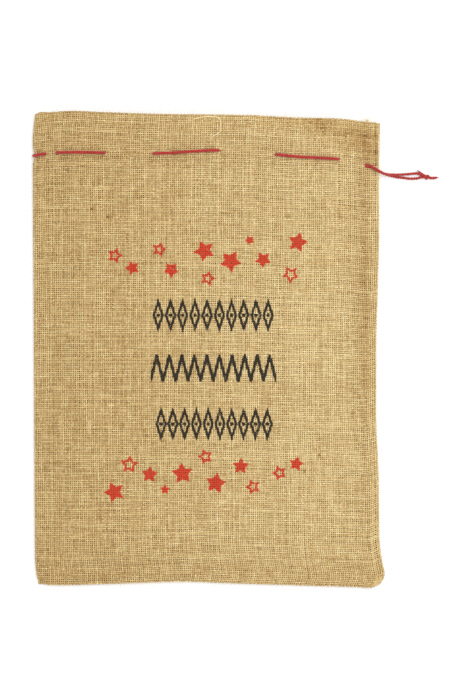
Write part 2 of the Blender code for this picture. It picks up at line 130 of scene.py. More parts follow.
# ---- the weave
PITCH = 1.67  # between neighbouring yarns, both ways
YARN_HALF_WIDTH = 0.57
YARN_HALF_HEIGHT = 0.30
YARN_SWING = 0.24  # how far a yarn rises or dips where it crosses another
PAINTED_YARN_SHADE = (-0.14, 0.03, -0.14, -0.20)  # painted shade: a yarn's sides and inner face are painted darker, and its crown a little lighter, as light falls on it
PANEL_COLUMNS, PANEL_ROWS = 177, 246
FIRST_PICK, LAST_PICK = 0.0014, 0.9978  # the panel's first and last rows, as shares of the height
FOLD_COLUMNS = 4
ALLOWANCE_YARNS = 6
HEM_YARNS = 6
TURN_R = 0.95  # half the step between a panel and the ply turned in behind it
TURNED_START, TURNED_PITCH = 0.2, 0.97 * PITCH
GROUPS = 5  # the yarns of each direction are this many pieces
LOW = 1 + ALLOWANCE_YARNS  # the place of the front panel's first crossing, both ways
TOP = LOW + PANEL_ROWS
FRONT = slice(LOW, LOW + PANEL_COLUMNS)
BACK = slice(FRONT.stop + FOLD_COLUMNS, FRONT.stop + FOLD_COLUMNS + PANEL_COLUMNS)
# What varies along the yarns: (spread, reach in crossings), where reach 0 is one value a yarn.
TONE_MIDDLE, TONE_GRAIN = 0.60, 0.045
TONE_SPREADS = [(0.018, 0), (0.028, 11), (0.035, 2)]
WIDTH_SPREADS = [(0.05, 0), (0.06, 9), (0.06, 2)]
WIDTH_LIMITS = 0.72, 1.4
SWAY_SPREADS = [(0.10, 22), (0.06, 4)]
PART_OPEN, PART_OPEN_HOLE = 1.0, 1.4  # how far yarns are pushed aside where the cord goes through
PART_ACROSS, PART_ALONG = 2.6, 2.4
THREAD_R = 0.22
THREAD_SWING = 0.6


def smooth(t):
    """0 below 0, 1 above 1, and an even S between them."""
    t = np.clip(t, 0.0, 1.0)
    return t * t * (3 - 2 * t)


def bell(t):
    """1 at 0, falling evenly to 0 at -1 and 1."""
    return 0.5 * (1 + np.cos(math.pi * np.clip(t, -1, 1)))


def through(points, t):
    """The smooth curve y(x) through a few points, never past them, read at t."""
    x, y = np.array(points, float).T
    grade = np.diff(y) / np.diff(x)
    before, after = grade[:-1], grade[1:]
    turning = before * after <= 0
    mean = np.where(turning, 0.0, 2 * before * after / np.where(turning, 1.0, before + after))
    slope = np.concatenate([grade[:1], mean, grade[-1:]])
    t = np.clip(t, x[0], x[-1])
    i = np.clip(np.searchsorted(x, t) - 1, 0, len(x) - 2)
    h = x[i + 1] - x[i]
    s = (t - x[i]) / h
    rise = y[i] * (1 + 2 * s) * (1 - s) ** 2 + y[i + 1] * s * s * (3 - 2 * s)
    return rise + h * (slope[i] * s * (1 - s) ** 2 - slope[i + 1] * s * s * (1 - s))


def bottom_y(u):
    return through(BOTTOM_EDGE, u)


def top_y(u):
    return through(TOP_EDGE, u)


def left_x(v):
    along = BOTTOM_LEVEL + HEIGHT * v - CORD_LINE[0][1]
    return through(LEFT_EDGE, v) + CLOTH_PINCH * bell(along / CLOTH_PINCH_RUN)


def right_x(v):
    return through(RIGHT_EDGE, v)


def cord_y(x):
    return through(CORD_LINE, x)


def place(u, v):
    """The point of the outline map at shares u of the width and v of the height."""
    x = left_x(v) * (1 - u) + right_x(v) * u
    y = bottom_y(u) * (1 - v) + top_y(u) * v
    return x, y


def shares(x, y):
    """The inverse of place, by a few rounds of correction."""
    u, v = 0.5, 0.5
    for _ in range(12):
        u = (x - left_x(v)) / (right_x(v) - left_x(v))
        v = (y - bottom_y(u)) / (top_y(u) - bottom_y(u))
    return u, v


def back_z(x, y):
    """Middle of the back layer, which rides up over the stretches of cord beneath it."""
    gate = 0.0
    for start, end in BACK_STITCHES:
        gate = gate + smooth((x - start) / LIFT_RUN + 0.5) * smooth((end - x) / LIFT_RUN + 0.5)
    return PLY / 2 + CORD_LIFT * gate * bell((y - cord_y(x)) / CORD_BAND)


def front_z(u, v):
    """Middle of the front layer: low along the fold and the seams, full in the middle and at the mouth."""
    x, y = place(u, v)
    from_left = smooth((x - left_x(v) - PANEL_INSET) / EDGE_RUN)
    from_right = smooth((right_x(v) - x) / EDGE_RUN)
    from_bottom = smooth((y - bottom_y(u)) / EDGE_RUN)
    return EDGE_Z + (CROWN_Z - EDGE_Z) * from_left * from_right * from_bottom


# ---- noise with fixed seeds
def swell(x, y, seed, wavelength, count=7):
    """Smooth noise over the cloth, about -1 to 1: plane waves in fixed random directions."""
    rng = np.random.default_rng(seed)
    total = np.zeros(np.shape(x))
    for _ in range(count):
        turn, phase = rng.uniform(0, math.tau, 2)
        k = math.tau / (wavelength * rng.uniform(0.75, 1.4))
        total = total + np.sin(k * (np.cos(turn) * x + np.sin(turn) * y) + phase)
    return total / math.sqrt(count)


def drift(rng, shape, reach):
    """Smooth noise along the last axis, with a spread of 1. reach is its correlation in steps."""
    kernel = np.exp(-0.5 * (np.arange(-3 * reach, 3 * reach + 1) / reach) ** 2)
    kernel /= math.sqrt((kernel**2).sum())
    raw = rng.normal(size=(*shape[:-1], shape[-1] + len(kernel) - 1))
    return np.apply_along_axis(np.convolve, -1, raw, kernel, "valid")


def varied(rng, shape, spreads):
    """Noise over yarns, one in each row: the sum of drifts, and of one value a yarn where reach is 0."""
    total = 0.0
    for spread, reach in spreads:
        total = total + spread * (drift(rng, shape, reach) if reach else rng.normal(size=(shape[0], 1)))
    return total


# ---- materials
class Maths:
    """Short names for the nodes of one node tree. Values are sockets or plain numbers."""

    def __init__(self, tree):
        self.tree = tree

    def node(self, kind, values=None, **settings):
        made = self.tree.nodes.new(kind)
        for name, value in settings.items():
            setattr(made, name, value)
        for name, value in (values or {}).items():
            self.link(value, made.inputs[name])
        return made

    def link(self, value, socket):
        if isinstance(value, bpy.types.NodeSocket):
            self.tree.links.new(value, socket)
        else:
            socket.default_value = value

    def do(self, operation, *values, clamp=False):
        values = dict(enumerate(values))
        return self.node("ShaderNodeMath", values, operation=operation, use_clamp=clamp).outputs[0]

    add = partialmethod(do, "ADD")
    minus = partialmethod(do, "SUBTRACT")
    times = partialmethod(do, "MULTIPLY")

    def read(self, attribute, output):
        return self.node("ShaderNodeAttribute", attribute_name=attribute).outputs[output]

    def below(self, value, edge, soft):
        """1 where value is under edge, 0 over it, with a soft step between."""
        limits = {"From Min": edge - soft, "From Max": edge + soft, "To Min": 1.0, "To Max": 0.0}
        step = self.node("ShaderNodeMapRange", {"Value": value, **limits}, interpolation_type="SMOOTHSTEP")
        return step.outputs["Result"]

    def noise(self, vector, scale, detail=2.0, roughness=0.5):
        values = {"Vector": vector, "Scale": scale, "Detail": detail, "Roughness": roughness}
        return self.node("ShaderNodeTexNoise", values).outputs["Fac"]

    def ramp(self, value, stops):
        made = self.node("ShaderNodeValToRGB", {"Fac": value})
        band = made.color_ramp
        while len(band.elements) < len(stops):
            band.elements.new(0.5)
        for element, (at, colour) in zip(band.elements, stops):
            element.position = at
            element.color = (*colour, 1)
        return made.outputs["Color"]

    def mix(self, share, first, second):
        """first turned into the plain colour second by share."""
        values = {"Factor": share, "A": first, "B": (*second, 1)}
        return self.node("ShaderNodeMix", values, data_type="RGBA").outputs["Result"]

    def bump(self, height, strength, shader):
        made = self.node("ShaderNodeBump", {"Height": height, "Strength": strength, "Distance": 0.0002})
        self.link(made.outputs["Normal"], shader.inputs["Normal"])

    def scaled(self, vector, factors):
        return self.node("ShaderNodeMapping", {"Vector": vector, "Scale": factors}).outputs["Vector"]


def new_material(name, roughness, sheen=0.0):
    made = bpy.data.materials.new(name)
    made.use_nodes = True
    shader = made.node_tree.nodes["Principled BSDF"]
    shader.inputs["Roughness"].default_value = roughness
    shader.inputs["Specular IOR Level"].default_value = 0.25
    if sheen:
        shader.inputs["Sheen Weight"].default_value = sheen
        shader.inputs["Sheen Roughness"].default_value = 0.5
    return made, Maths(made.node_tree), shader


STAR_INNER = 0.53  # a star's notches, as a share of its points' radius
OUTLINE = 0.92  # half the width of an outlined star's line
# Each star: (x, y, radius, turn in degrees, filled)
STARS = [
    (-80.8, 81.8, 7.0, -17, False), (-65.8, 71.1, 6.9, 21, True), (-42.4, 87.1, 6.8, -16, False),
    (-31.9, 69.3, 7.5, 36, True), (-3.2, 85.7, 9.7, 25, True), (19.5, 76.8, 10.1, 42, True),
    (-0.3, 61.8, 7.0, -17, False), (36.0, 95.1, 4.6, 27, True), (47.8, 78.1, 7.6, 31, True),
    (77.9, 93.2, 9.1, -14, True), (71.8, 65.2, 8.0, 31, False),
    (-68.2, -99.7, 8.2, -5, False), (-50.7, -108.1, 7.6, -5, True), (-81.4, -123.5, 9.4, 21, True),
    (-37.4, -121.4, 4.6, -5, True), (-22.4, -107.4, 9.7, 5, True), (-2.3, -92.8, 7.0, 17, False),
    (6.7, -115.9, 9.6, -10, True), (28.3, -101.0, 7.5, -4, True), (38.9, -119.0, 6.9, 20, False),
    (61.9, -106.9, 6.9, 19, False), (76.5, -99.0, 6.9, -12, True),
]


def star_distance(maths, x, y, centre_x, centre_y, radius, turn):
    """How far outside a five-pointed star a point is, in millimetres, negative inside."""
    dx = maths.minus(x, centre_x)
    dy = maths.minus(y, centre_y)
    far = maths.do("SQRT", maths.add(maths.times(dx, dx), maths.times(dy, dy)))
    angle = maths.add(maths.do("ARCTAN2", dx, dy), math.radians(turn))
    fold = maths.do("PINGPONG", angle, math.pi / 5)
    # In one folded sector the star's side runs from its point, at angle 0, to its notch, at 36 degrees.
    point = np.array([0.0, radius])
    notch = radius * STAR_INNER * np.array([math.sin(math.pi / 5), math.cos(math.pi / 5)])
    side = notch - point
    outward = np.array([-side[1], side[0]]) / np.linalg.norm(side)
    across = maths.times(far, maths.do("SINE", fold))
    along = maths.times(far, maths.do("COSINE", fold))
    across, along = maths.times(across, outward[0]), maths.times(along, outward[1])
    return maths.minus(maths.add(across, along), float(point @ outward))


def all_stars(maths, x, y):
    """How far outside the nearest printed star a point is."""
    nearest = 9.0
    for centre_x, centre_y, radius, turn, filled in STARS:
        away = star_distance(maths, x, y, centre_x, centre_y, radius, turn)
        if not filled:
            away = maths.minus(maths.do("ABSOLUTE", maths.add(away, OUTLINE)), OUTLINE)
        nearest = maths.do("MINIMUM", nearest, away)
    return nearest


INK_EDGE, INK_WOBBLE = 0.3, 0.7
STROKE = 1.35  # half the width of the dark print's lines
LOZENGE_BANDS = [(-48.5, 57.5, 30.0), (-46.0, 56.5, -64.5)]  # (left, right, middle height)
LOZENGE_PITCH, LOZENGE_HALF = 10.6, (4.1, 12.4)
LOZENGE_SHARE = 0.93  # where the line's middle lies, as a share of the half sizes
LOZENGE_STROKE, LOZENGE_DOT = 0.85 * STROKE, 1.25 * STROKE
ZIGZAG_BAND = (-50.0, 59.0, -16.0)
ZIGZAG_PITCH, ZIGZAG_HALF = 10.9, 10.6


def within(maths, x, left, right):
    """Negative between left and right."""
    away = maths.do("ABSOLUTE", maths.minus(x, (left + right) / 2))
    return maths.minus(away, (right - left) / 2)


def lozenge_band(maths, x, y, left, right, middle):
    """How far outside a row of tall lozenge outlines with a dot in each a point is."""
    count = round((right - left) / LOZENGE_PITCH)
    step = (right - left) / count
    local = maths.minus(maths.do("WRAP", x, left + step, left), left + step / 2)
    high = maths.minus(y, middle)
    half_x, half_y = LOZENGE_HALF
    spread = maths.add(
        maths.do("DIVIDE", maths.do("ABSOLUTE", local), half_x),
        maths.do("DIVIDE", maths.do("ABSOLUTE", high), half_y),
    )
    scale = half_x * half_y / math.hypot(half_x, half_y)
    outline = maths.times(maths.minus(spread, LOZENGE_SHARE), scale)
    outline = maths.minus(maths.do("ABSOLUTE", outline), LOZENGE_STROKE)
    dot = maths.add(maths.times(local, local), maths.times(high, high))
    dot = maths.minus(maths.do("SQRT", dot), LOZENGE_DOT)
    inked = maths.do("MINIMUM", outline, dot)
    return maths.do("MAXIMUM", inked, within(maths, x, left, right))


def zigzag_band(maths, x, y):
    """How far outside an upright zigzag line a point is."""
    left, right, middle = ZIGZAG_BAND
    count = round((right - left) / ZIGZAG_PITCH)
    half_period = (right - left) / count / 2
    wave = maths.do("PINGPONG", maths.minus(x, left), half_period)
    slope = 2 * ZIGZAG_HALF / half_period
    line = maths.minus(maths.times(wave, slope), ZIGZAG_HALF)
    away = maths.do("ABSOLUTE", maths.minus(maths.minus(y, middle), line))
    away = maths.minus(maths.times(away, 1 / math.hypot(1, slope)), STROKE)
    flat = within(maths, y, middle - ZIGZAG_HALF - STROKE, middle + ZIGZAG_HALF + STROKE)
    return maths.do("MAXIMUM", maths.do("MAXIMUM", away, flat), within(maths, x, left, right))


def print_group():
    """The sack's print, as a node group: cloth coordinates in, shares of red and dark ink out."""
    tree = bpy.data.node_groups.new("sack print", "ShaderNodeTree")
    tree.interface.new_socket("Cloth", in_out="INPUT", socket_type="NodeSocketVector")
    for name in ("Red", "Dark"):
        tree.interface.new_socket(name, in_out="OUTPUT", socket_type="NodeSocketFloat")
    maths = Maths(tree)
    cloth = maths.node("NodeGroupInput").outputs["Cloth"]
    split = maths.node("ShaderNodeSeparateXYZ")
    maths.link(cloth, split.inputs[0])
    # The ink's edge wanders a little, because it soaks into the yarns.
    wobble = maths.minus(maths.noise(cloth, 1.4), 0.5)
    x = maths.add(split.outputs["X"], maths.times(wobble, INK_WOBBLE))
    y = split.outputs["Y"]
    bands = [lozenge_band(maths, x, y, *band) for band in LOZENGE_BANDS] + [zigzag_band(maths, x, y)]
    dark = maths.do("MINIMUM", maths.do("MINIMUM", bands[0], bands[1]), bands[2])
    out = maths.node("NodeGroupOutput")
    maths.link(maths.below(all_stars(maths, x, y), 0.0, INK_EDGE), out.inputs["Red"])
    maths.link(maths.below(dark, 0.0, INK_EDGE), out.inputs["Dark"])
    return tree


JUTE_STOPS = [
    (0.05, (0.16, 0.075, 0.02)),
    (0.30, (0.39, 0.235, 0.08)),
    (0.52, (0.602, 0.437, 0.19)),
    (0.76, (0.795, 0.643, 0.34)),
    (1.0, (0.905, 0.81, 0.53)),
]
RUST = (0.50, 0.265, 0.085)  # redder fibres among the jute's
RED_INK = (0.60, 0.040, 0.014)
DARK_INK = (0.010, 0.009, 0.008)
STREAK_TONE, PATCH_TONE, RUST_SHARE = 0.75, 0.10, 0.40  # how much each marks the jute


def jute_material(name, stretch, printed):
    """Jute yarn. stretch draws the fibre streaks out along the yarn."""
    made, maths, shader = new_material(name, 0.92, sheen=0.04)
    cloth, tone = maths.read("cloth", "Vector"), maths.read("tone", "Fac")
    streaks = maths.noise(maths.scaled(cloth, stretch), 1.0, 4.0, 0.65)
    patches = maths.noise(cloth, 0.055, 2.0)
    streaked = maths.times(maths.minus(streaks, 0.5), STREAK_TONE)
    patched = maths.times(maths.minus(patches, 0.5), PATCH_TONE)
    level = maths.add(maths.add(tone, streaked), patched, clamp=True)
    colour = maths.ramp(level, JUTE_STOPS)
    rusty = maths.minus(1.0, maths.below(maths.noise(cloth, 0.42, 3.0), 0.60, 0.14))
    colour = maths.mix(maths.times(rusty, RUST_SHARE), colour, RUST)
    if printed:
        group = maths.node("ShaderNodeGroup", node_tree=PRINT)
        maths.link(cloth, group.inputs["Cloth"])
        # The ink misses some of the yarns' raised fibres.
        taken = maths.minus(1.36, maths.times(streaks, 0.5), clamp=True)
        cover = maths.times(maths.read("printed", "Fac"), taken)
        for output, ink in (("Red", RED_INK), ("Dark", DARK_INK)):
            colour = maths.mix(maths.times(group.outputs[output], cover), colour, ink)
    maths.link(colour, shader.inputs["Base Color"])
    maths.bump(streaks, 0.35, shader)
    return made


def cord_material(name, dark, bright):
    """Spun fibre: streaks and a little fuzz of tone in the cord's own colour."""
    made, maths, shader = new_material(name, 0.75, sheen=0.35)
    where = maths.node("ShaderNodeTexCoord").outputs["Object"]
    fibres = maths.noise(where, 2600.0, 3.0, 0.7)
    clumps = maths.noise(where, 420.0, 2.0)
    level = maths.add(maths.times(fibres, 0.65), maths.times(clumps, 0.45))
    maths.link(maths.ramp(level, [(0.32, dark), (0.72, bright)]), shader.inputs["Base Color"])
    maths.bump(fibres, 0.5, shader)
    return made


PRINT = print_group()
WEFT = jute_material("jute_weft", (0.10, 1.1, 1.0), True)
WARP = jute_material("jute_warp", (1.1, 0.10, 1.0), True)
FIBRE = jute_material("jute_fibre", (0.5, 0.5, 1.0), False)
RED_CORD = cord_material("red_cord", (0.16, 0.006, 0.005), (0.49, 0.024, 0.017))
SEAM_THREAD = cord_material("seam_thread", (0.45, 0.33, 0.16), (0.78, 0.64, 0.38))


# ---- meshes
def new_object(name, data):
    made = bpy.data.objects.new(name, data)
    bpy.context.scene.collection.objects.link(made)
    return made


def add_piece(name, points, quads, material, attributes):
    """A mesh object of points in millimetres and four-sided faces, with one number or vector a point."""
    mesh = bpy.data.meshes.new(name)
    mesh.vertices.add(len(points))
    mesh.vertices.foreach_set("co", (points * MM).astype(np.float32).ravel())
    mesh.loops.add(quads.size)
    mesh.loops.foreach_set("vertex_index", quads.astype(np.int32).ravel())
    mesh.polygons.add(len(quads))
    mesh.polygons.foreach_set("loop_start", np.arange(0, quads.size, 4, dtype=np.int32))
    mesh.polygons.foreach_set("loop_total", np.full(len(quads), 4, np.int32))
    mesh.polygons.foreach_set("use_smooth", np.ones(len(quads), bool))
    mesh.update(calc_edges=True)
    mesh.validate()
    for label, values in attributes.items():
        kind, field = ("FLOAT_VECTOR", "vector") if values.ndim == 2 else ("FLOAT", "value")
        mesh.attributes.new(label, kind, "POINT").data.foreach_set(field, values.astype(np.float32).ravel())
    mesh.materials.append(material)
    return new_object(name, mesh)


def unit(vectors):
    return vectors / np.maximum(np.linalg.norm(vectors, axis=-1, keepdims=True), 1e-9)


def tube_faces(rings, sides, first=0):
    """The four-sided faces of a tube, with four-sided faces closing each end where it has four sides."""
    ring = np.arange(rings - 1)[:, None] * sides
    k = np.arange(sides)[None, :]
    after = (k + 1) % sides
    wall = np.stack([ring + k, ring + sides + k, ring + sides + after, ring + after], axis=-1)
    last = (rings - 1) * sides
    half = sides // 2
    start = [(i, i + 1, sides - 2 - i, sides - 1 - i) for i in range(half - 1)]
    end = [(last + sides - 1 - i, last + sides - 2 - i, last + i + 1, last + i) for i in range(half - 1)]
    return np.concatenate([wall.reshape(-1, 4), np.array(start), np.array(end)]) + first


class Tubes:
    """Tubes gathered into one mesh."""

    def __init__(self):
        self.points, self.faces, self.count = [], [], 0

    def add_tube(self, rings):
        """rings is (n, sides, 3)."""
        n, sides = rings.shape[:2]
        self.points.append(rings.reshape(-1, 3))
        self.faces.append(tube_faces(n, sides, self.count))
        self.count += n * sides

    def mesh(self, name, material, attributes=None):
        points, faces = np.concatenate(self.points), np.concatenate(self.faces)
        return add_piece(name, points, faces, material, attributes or {})


class Bundle(Tubes):
    """Tubes with the cloth's attributes at each point."""

    def __init__(self):
        super().__init__()
        self.cloth, self.tone, self.printed = [], [], []

    def add(self, rings, flat, tone, printed=0.0, shade=0.0):
        """flat, tone and printed hold one value a ring, and shade is the painted shade round a ring: the
        change of tone from the yarn's crown to its sides and inner face.
        """
        n, sides = rings.shape[:2]
        self.add_tube(rings)
        self.cloth.append(np.repeat(flat, sides, axis=0))
        self.tone.append(np.add.outer(tone, np.zeros(sides) + shade).ravel())
        self.printed.append(np.repeat(np.zeros(n) + printed, sides))

    def piece(self, name, material):
        attributes = {"cloth": self.cloth, "tone": self.tone, "printed": self.printed}
        attributes = {label: np.concatenate(values) for label, values in attributes.items()}
        made = self.mesh(name, material, attributes)
        follow_cord(made)
        return made


def follow_cord(piece):
    """The piece's placement, baked into its mesh."""
    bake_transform(piece)


# ---- the cloth's crossings
def ridges(inward, rows):
    return sum(height * bell((inward - at) / half) for height, at, half in rows)


def cloth_height(u, v, x, y):
    """The front layer's height, with the soft waves of a cloth that was folded and pressed."""
    from_cord = y - cord_y(x)
    from_side, from_bottom = right_x(v) - x, y - bottom_y(u)
    calm = smooth((np.abs(from_cord) - CALM_BAND) / CALM_RUN)
    loose = smooth(np.minimum(np.minimum(x - left_x(v), from_side), from_bottom) / LOOSE_RUN)
    waves = sum(height * swell(x, y, seed, wavelength) for height, seed, wavelength in WAVES)
    puckers = np.sin(math.tau * x / PUCKER_LENGTH + swell(x, y, 13, 80.0))
    puckers = PUCKER * np.exp(-((from_cord / PUCKER_BAND) ** 2)) * puckers
    # The bottom's corner at the fold is sewn flat, with no ply between the layers.
    corner = (1 - smooth((x - BOTTOM_START + 3.0) / CORNER_RUN)) * bell(from_bottom / CORNER_RISE)
    pressed = ridges(from_side, SIDE_RIDGES) + ridges(from_bottom, BOTTOM_RIDGES)
    return front_z(u, v) + loose * (calm * waves + puckers) + pressed - corner * (EDGE_Z - CORNER_Z)


def back_height(u, v, x, y):
    return back_z(x, y) + 0 * v


def panel_left(v):
    return left_x(v) + PLY / 2 + (EDGE_Z - PLY / 2) / 2


def panel_right(v):
    return right_x(v) - SEAM_INSET


def panel(first_x, last_x, height):
    """Crossings of one layer, columns by rows, between two places along the width at each height."""
    v = np.linspace(FIRST_PICK, LAST_PICK, PANEL_ROWS)[None, :]
    t = np.linspace(0, 1, PANEL_COLUMNS)[:, None]
    x = first_x(v) * (1 - t) + last_x(v) * t
    u = (x - left_x(v)) / (right_x(v) - left_x(v))
    y = bottom_y(u) * (1 - v) + top_y(u) * v
    return np.stack([x, y, height(u, v, x, y)], axis=-1)


def folded(front_edge, back_edge):
    """The crossings between the two layers, on half rounds about the fold."""
    radius = (front_edge[:, 2] - back_edge[:, 2]) / 2
    centre = front_edge.copy()
    centre[:, 2] = (front_edge[:, 2] + back_edge[:, 2]) / 2
    columns = []
    for k in range(1, FOLD_COLUMNS + 1):
        angle = math.radians(90 + 180 * k / (FOLD_COLUMNS + 1))
        turn = np.stack([radius * math.cos(angle), 0 * radius, radius * math.sin(angle)], axis=-1)
        columns.append(centre + turn)
    return np.stack(columns)


def turned_in(edge, step, count, way):
    """Crossings turned in behind an edge: one at the turn, then count more, inwards from the edge.
    edge is (n, 3), step the way in, and way is 1 where the turned ply lies above, -1 beneath."""
    step = np.array(step)
    rows = [edge - step * 0.5 + np.array([0, 0, way * TURN_R])]
    for k in range(count):
        inwards = step * (TURNED_START + TURNED_PITCH * k)
        rows.append(edge + inwards + np.array([0, 0, way * 2 * TURN_R]))
    return np.stack(rows)


def crossings():
    """Every crossing of the cloth, columns by rows, NaN where there is no cloth. The columns are the front's
    side allowance, the front, the fold, the back and its side allowance; the rows, the bottom allowance, the
    panel and the hem."""
    front = panel(panel_right, panel_left, cloth_height)
    back = panel(panel_left, panel_right, back_height)
    lip = bell((back[:, :, 0] + 146.0) / 12.0) * smooth((back[:, :, 1] - 150.0) / 50.0)
    back[:, :, 1] += BACK_LIP * lip
    front_side = turned_in(front[0], (-1, 0, 0), ALLOWANCE_YARNS, -1)[::-1]
    back_side = turned_in(back[-1], (-1, 0, 0), ALLOWANCE_YARNS, 1)
    body = np.concatenate([front_side, front, folded(front[-1], back[0]), back, back_side])
    total = np.full((len(body), TOP + 1 + HEM_YARNS, 3), np.nan)
    total[:, LOW:TOP] = body
    for columns, way in ((FRONT, -1), (BACK, 1)):
        edge = total[columns, LOW]
        keep = (edge[:, 0] > BOTTOM_START) & (edge[:, 0] < BOTTOM_END)
        seam = turned_in(edge, (0, 1, 0), ALLOWANCE_YARNS, way)[::-1]
        total[columns, :LOW] = np.where(keep[:, None, None], seam.transpose(1, 0, 2), np.nan)
        edge = total[columns, TOP - 1]
        x = edge[:, 0]
        keep = (x > x.min() + HEM_INSET_LEFT) & (x < x.max() - HEM_INSET_RIGHT)
        hem = turned_in(edge, (0, -1, 0), HEM_YARNS, way)
        total[columns, TOP:] = np.where(keep[:, None, None], hem.transpose(1, 0, 2), np.nan)
    return total


def normals_of(grid):
    """Unit normals on the cloth's outer side, from neighbouring crossings where there are any."""

    def steps(axis):
        ahead = np.roll(grid, -1, axis=axis)
        behind = np.roll(grid, 1, axis=axis)
        edge = [slice(None)] * 3
        edge[axis] = -1
        ahead[tuple(edge)] = np.nan
        edge[axis] = 0
        behind[tuple(edge)] = np.nan
        ahead = np.where(np.isnan(ahead), grid, ahead)
        behind = np.where(np.isnan(behind), grid, behind)
        return ahead - behind

    return unit(np.cross(steps(1), steps(0)))


def stitch_ends(stitches):
    """Where the stitches of one layer start and end, apart from those round the fold."""
    return [x for stitch in stitches for x in stitch if x > ROUND_FOLD]


def eyelets():
    """Where the cord goes through a layer: (x, y, on the front layer)."""
    places = [(x, float(cord_y(x)), True) for x in stitch_ends(FRONT_STITCHES)]
    places += [(x, float(cord_y(x)), False) for x in stitch_ends(BACK_STITCHES)]
    return places + [(HOLE_X, HOLE_Y, True)]


def parted(grid, axis):
    """The crossings with the yarns pushed apart sideways along an axis, where the cord goes through."""
    moved = grid.copy()
    for x, y, on_front in eyelets():
        part = moved[FRONT if on_front else slice(FRONT.stop, None)]
        away = part[:, :, :2] - np.array([x, y])
        side, along = away[:, :, axis], away[:, :, 1 - axis]
        wide = PART_OPEN_HOLE if axis == 1 and x == HOLE_X else PART_OPEN
        push = np.sign(side) * wide * np.exp(-np.abs(side) / PART_ACROSS - (along / PART_ALONG) ** 2)
        part[:, :, axis] += np.where(np.isnan(push), 0.0, push)
    return moved


# Spots in the cloth: (x, y, half length, half width, change).
# First slubs and specks in single yarns, of tone. Then broad, faint spots of painted light and shade: painted
# shade makes the cloth darker towards the fold, along the seam and in a soft fold at the mouth's corner, and
# painted light makes it palest right of the centre; it is also darker towards the ends and along the cord.
FLECKS_AND_PAINTED_LIGHT = [
    (-84.4, -48.9, 1.3, 1.3, 0.35), (-101.0, 122.5, 1.2, 1.2, -0.5), (-87.1, 115.5, 1.2, 1.2, -0.5),
    (96.5, -91.5, 1.3, 1.3, -0.55), (83.4, -105.4, 1.2, 1.2, -0.5),
    (-165.0, 0.0, 130.0, 900.0, -0.075), (82.0, 0.0, 70.0, 200.0, 0.05), (0.0, -216.0, 900.0, 32.0, -0.055),
    (-70.0, 214.0, 120.0, 42.0, -0.035), (136.5, 30.0, 5.0, 160.0, -0.11),
    (62.0, 203.0, 10.0, 4.0, -0.12), (82.0, 199.0, 13.0, 6.0, -0.17), (102.0, 194.0, 14.0, 8.0, -0.19),
    (123.0, 187.0, 14.0, 11.0, -0.20), (138.0, 178.0, 9.0, 15.0, -0.18),
    (131.0, 55.0, 9.0, 75.0, -0.05), (-10.0, 168.0, 170.0, 9.0, -0.035),
    (146.3, 185.0, 1.0, 22.0, -0.4), (148.2, 160.0, 1.0, 60.0, 0.15),
]
PRESSED = [  # of the yarns' width, where the plies of the mouth lie tight
    (82.0, 199.0, 22.0, 7.0, 0.26), (112.0, 191.0, 22.0, 10.0, 0.34), (137.0, 180.0, 11.0, 17.0, 0.32),
    (0.0, 206.0, 900.0, 9.0, 0.10),
]


def spotted(grid, values, spots):
    """The values with the change of each spot added, fading out from its middle."""
    x, y = grid[:, :, 0], grid[:, :, 1]
    for middle_x, middle_y, half_x, half_y, change in spots:
        spot = np.exp(-(((x - middle_x) / half_x) ** 2) - ((y - middle_y) / half_y) ** 2)
        values = values + change * np.where(np.isnan(spot), 0.0, spot)
    return values


def runs(present):
    """The slices of three or more places in a row where something is present."""
    edges = np.flatnonzero(np.diff(np.concatenate([[0], present.astype(int), [0]])))
    return [slice(start, stop) for start, stop in zip(edges[::2], edges[1::2]) if stop - start >= 3]


def yarns(grid, normal, over, printed, rng, name, material):
    """Pieces of yarns, one for each row of grid, each yarn rising and dipping as over says."""
    shape = grid.shape[:2]
    tone = TONE_MIDDLE + varied(rng, shape, TONE_SPREADS)
    # Specks of the yarns' own tone, and broad painted light and shade over the cloth.
    tone = spotted(grid, np.clip(tone + TONE_GRAIN * rng.normal(size=shape), 0.02, 1.0), FLECKS_AND_PAINTED_LIGHT)
    wide = spotted(grid, 1 + varied(rng, shape, WIDTH_SPREADS), PRESSED)
    wide = np.clip(wide, *WIDTH_LIMITS) * YARN_HALF_WIDTH
    sway = varied(rng, shape, SWAY_SPREADS)
    pieces = []
    for number, group in enumerate(np.array_split(np.arange(shape[0]), GROUPS), 1):
        bundle = Bundle()
        for i in group:
            for run in runs(~np.isnan(grid[i, :, 0])):
                centre, up = grid[i, run], normal[i, run]
                side = unit(np.cross(unit(np.gradient(centre, axis=0)), up))
                centre = centre + side * sway[i, run, None] + up * (over[i, run] * YARN_SWING)[:, None]
                w, h = wide[i, run, None] * side, YARN_HALF_HEIGHT * up
                rings = np.stack([centre + w, centre + h, centre - w, centre - h], axis=1)
                # The third number sets each yarn's fibres apart from its neighbours'.
                flat = np.column_stack([grid[i, run, :2], np.full(len(centre), 3.7 * i)])
                # Each ring gets painted shade on the yarn's sides and inner face, and a faint painted
                # highlight on its crown.
                bundle.add(rings, flat, tone[i, run], printed[i, run], np.array(PAINTED_YARN_SHADE))
        pieces.append(bundle.piece(f"{name}_{number}", material))
    return pieces


def sack_cloth(grid):
    """All the cloth's yarns: weft across the width and round the fold, warp from the bottom to the mouth."""
    normal = normals_of(grid)
    over = 1.0 - 2.0 * (np.indices(grid.shape[:2]).sum(axis=0) % 2)
    on_front = np.zeros(grid.shape[:2])
    on_front[FRONT, LOW:TOP] = 1.0
    weft_print, warp_print = (on_front * np.where(lift > 0, 1.0, 0.9) for lift in (over, -over))
    rng = np.random.default_rng(2024)
    picks = parted(grid, 1).transpose(1, 0, 2)
    weft = yarns(picks, normal.transpose(1, 0, 2), over.T, weft_print.T, rng, "weft_yarns", WEFT)
    warp = yarns(parted(grid, 0), normal, -over, warp_print, rng, "warp_yarns", WARP)
    return weft, warp


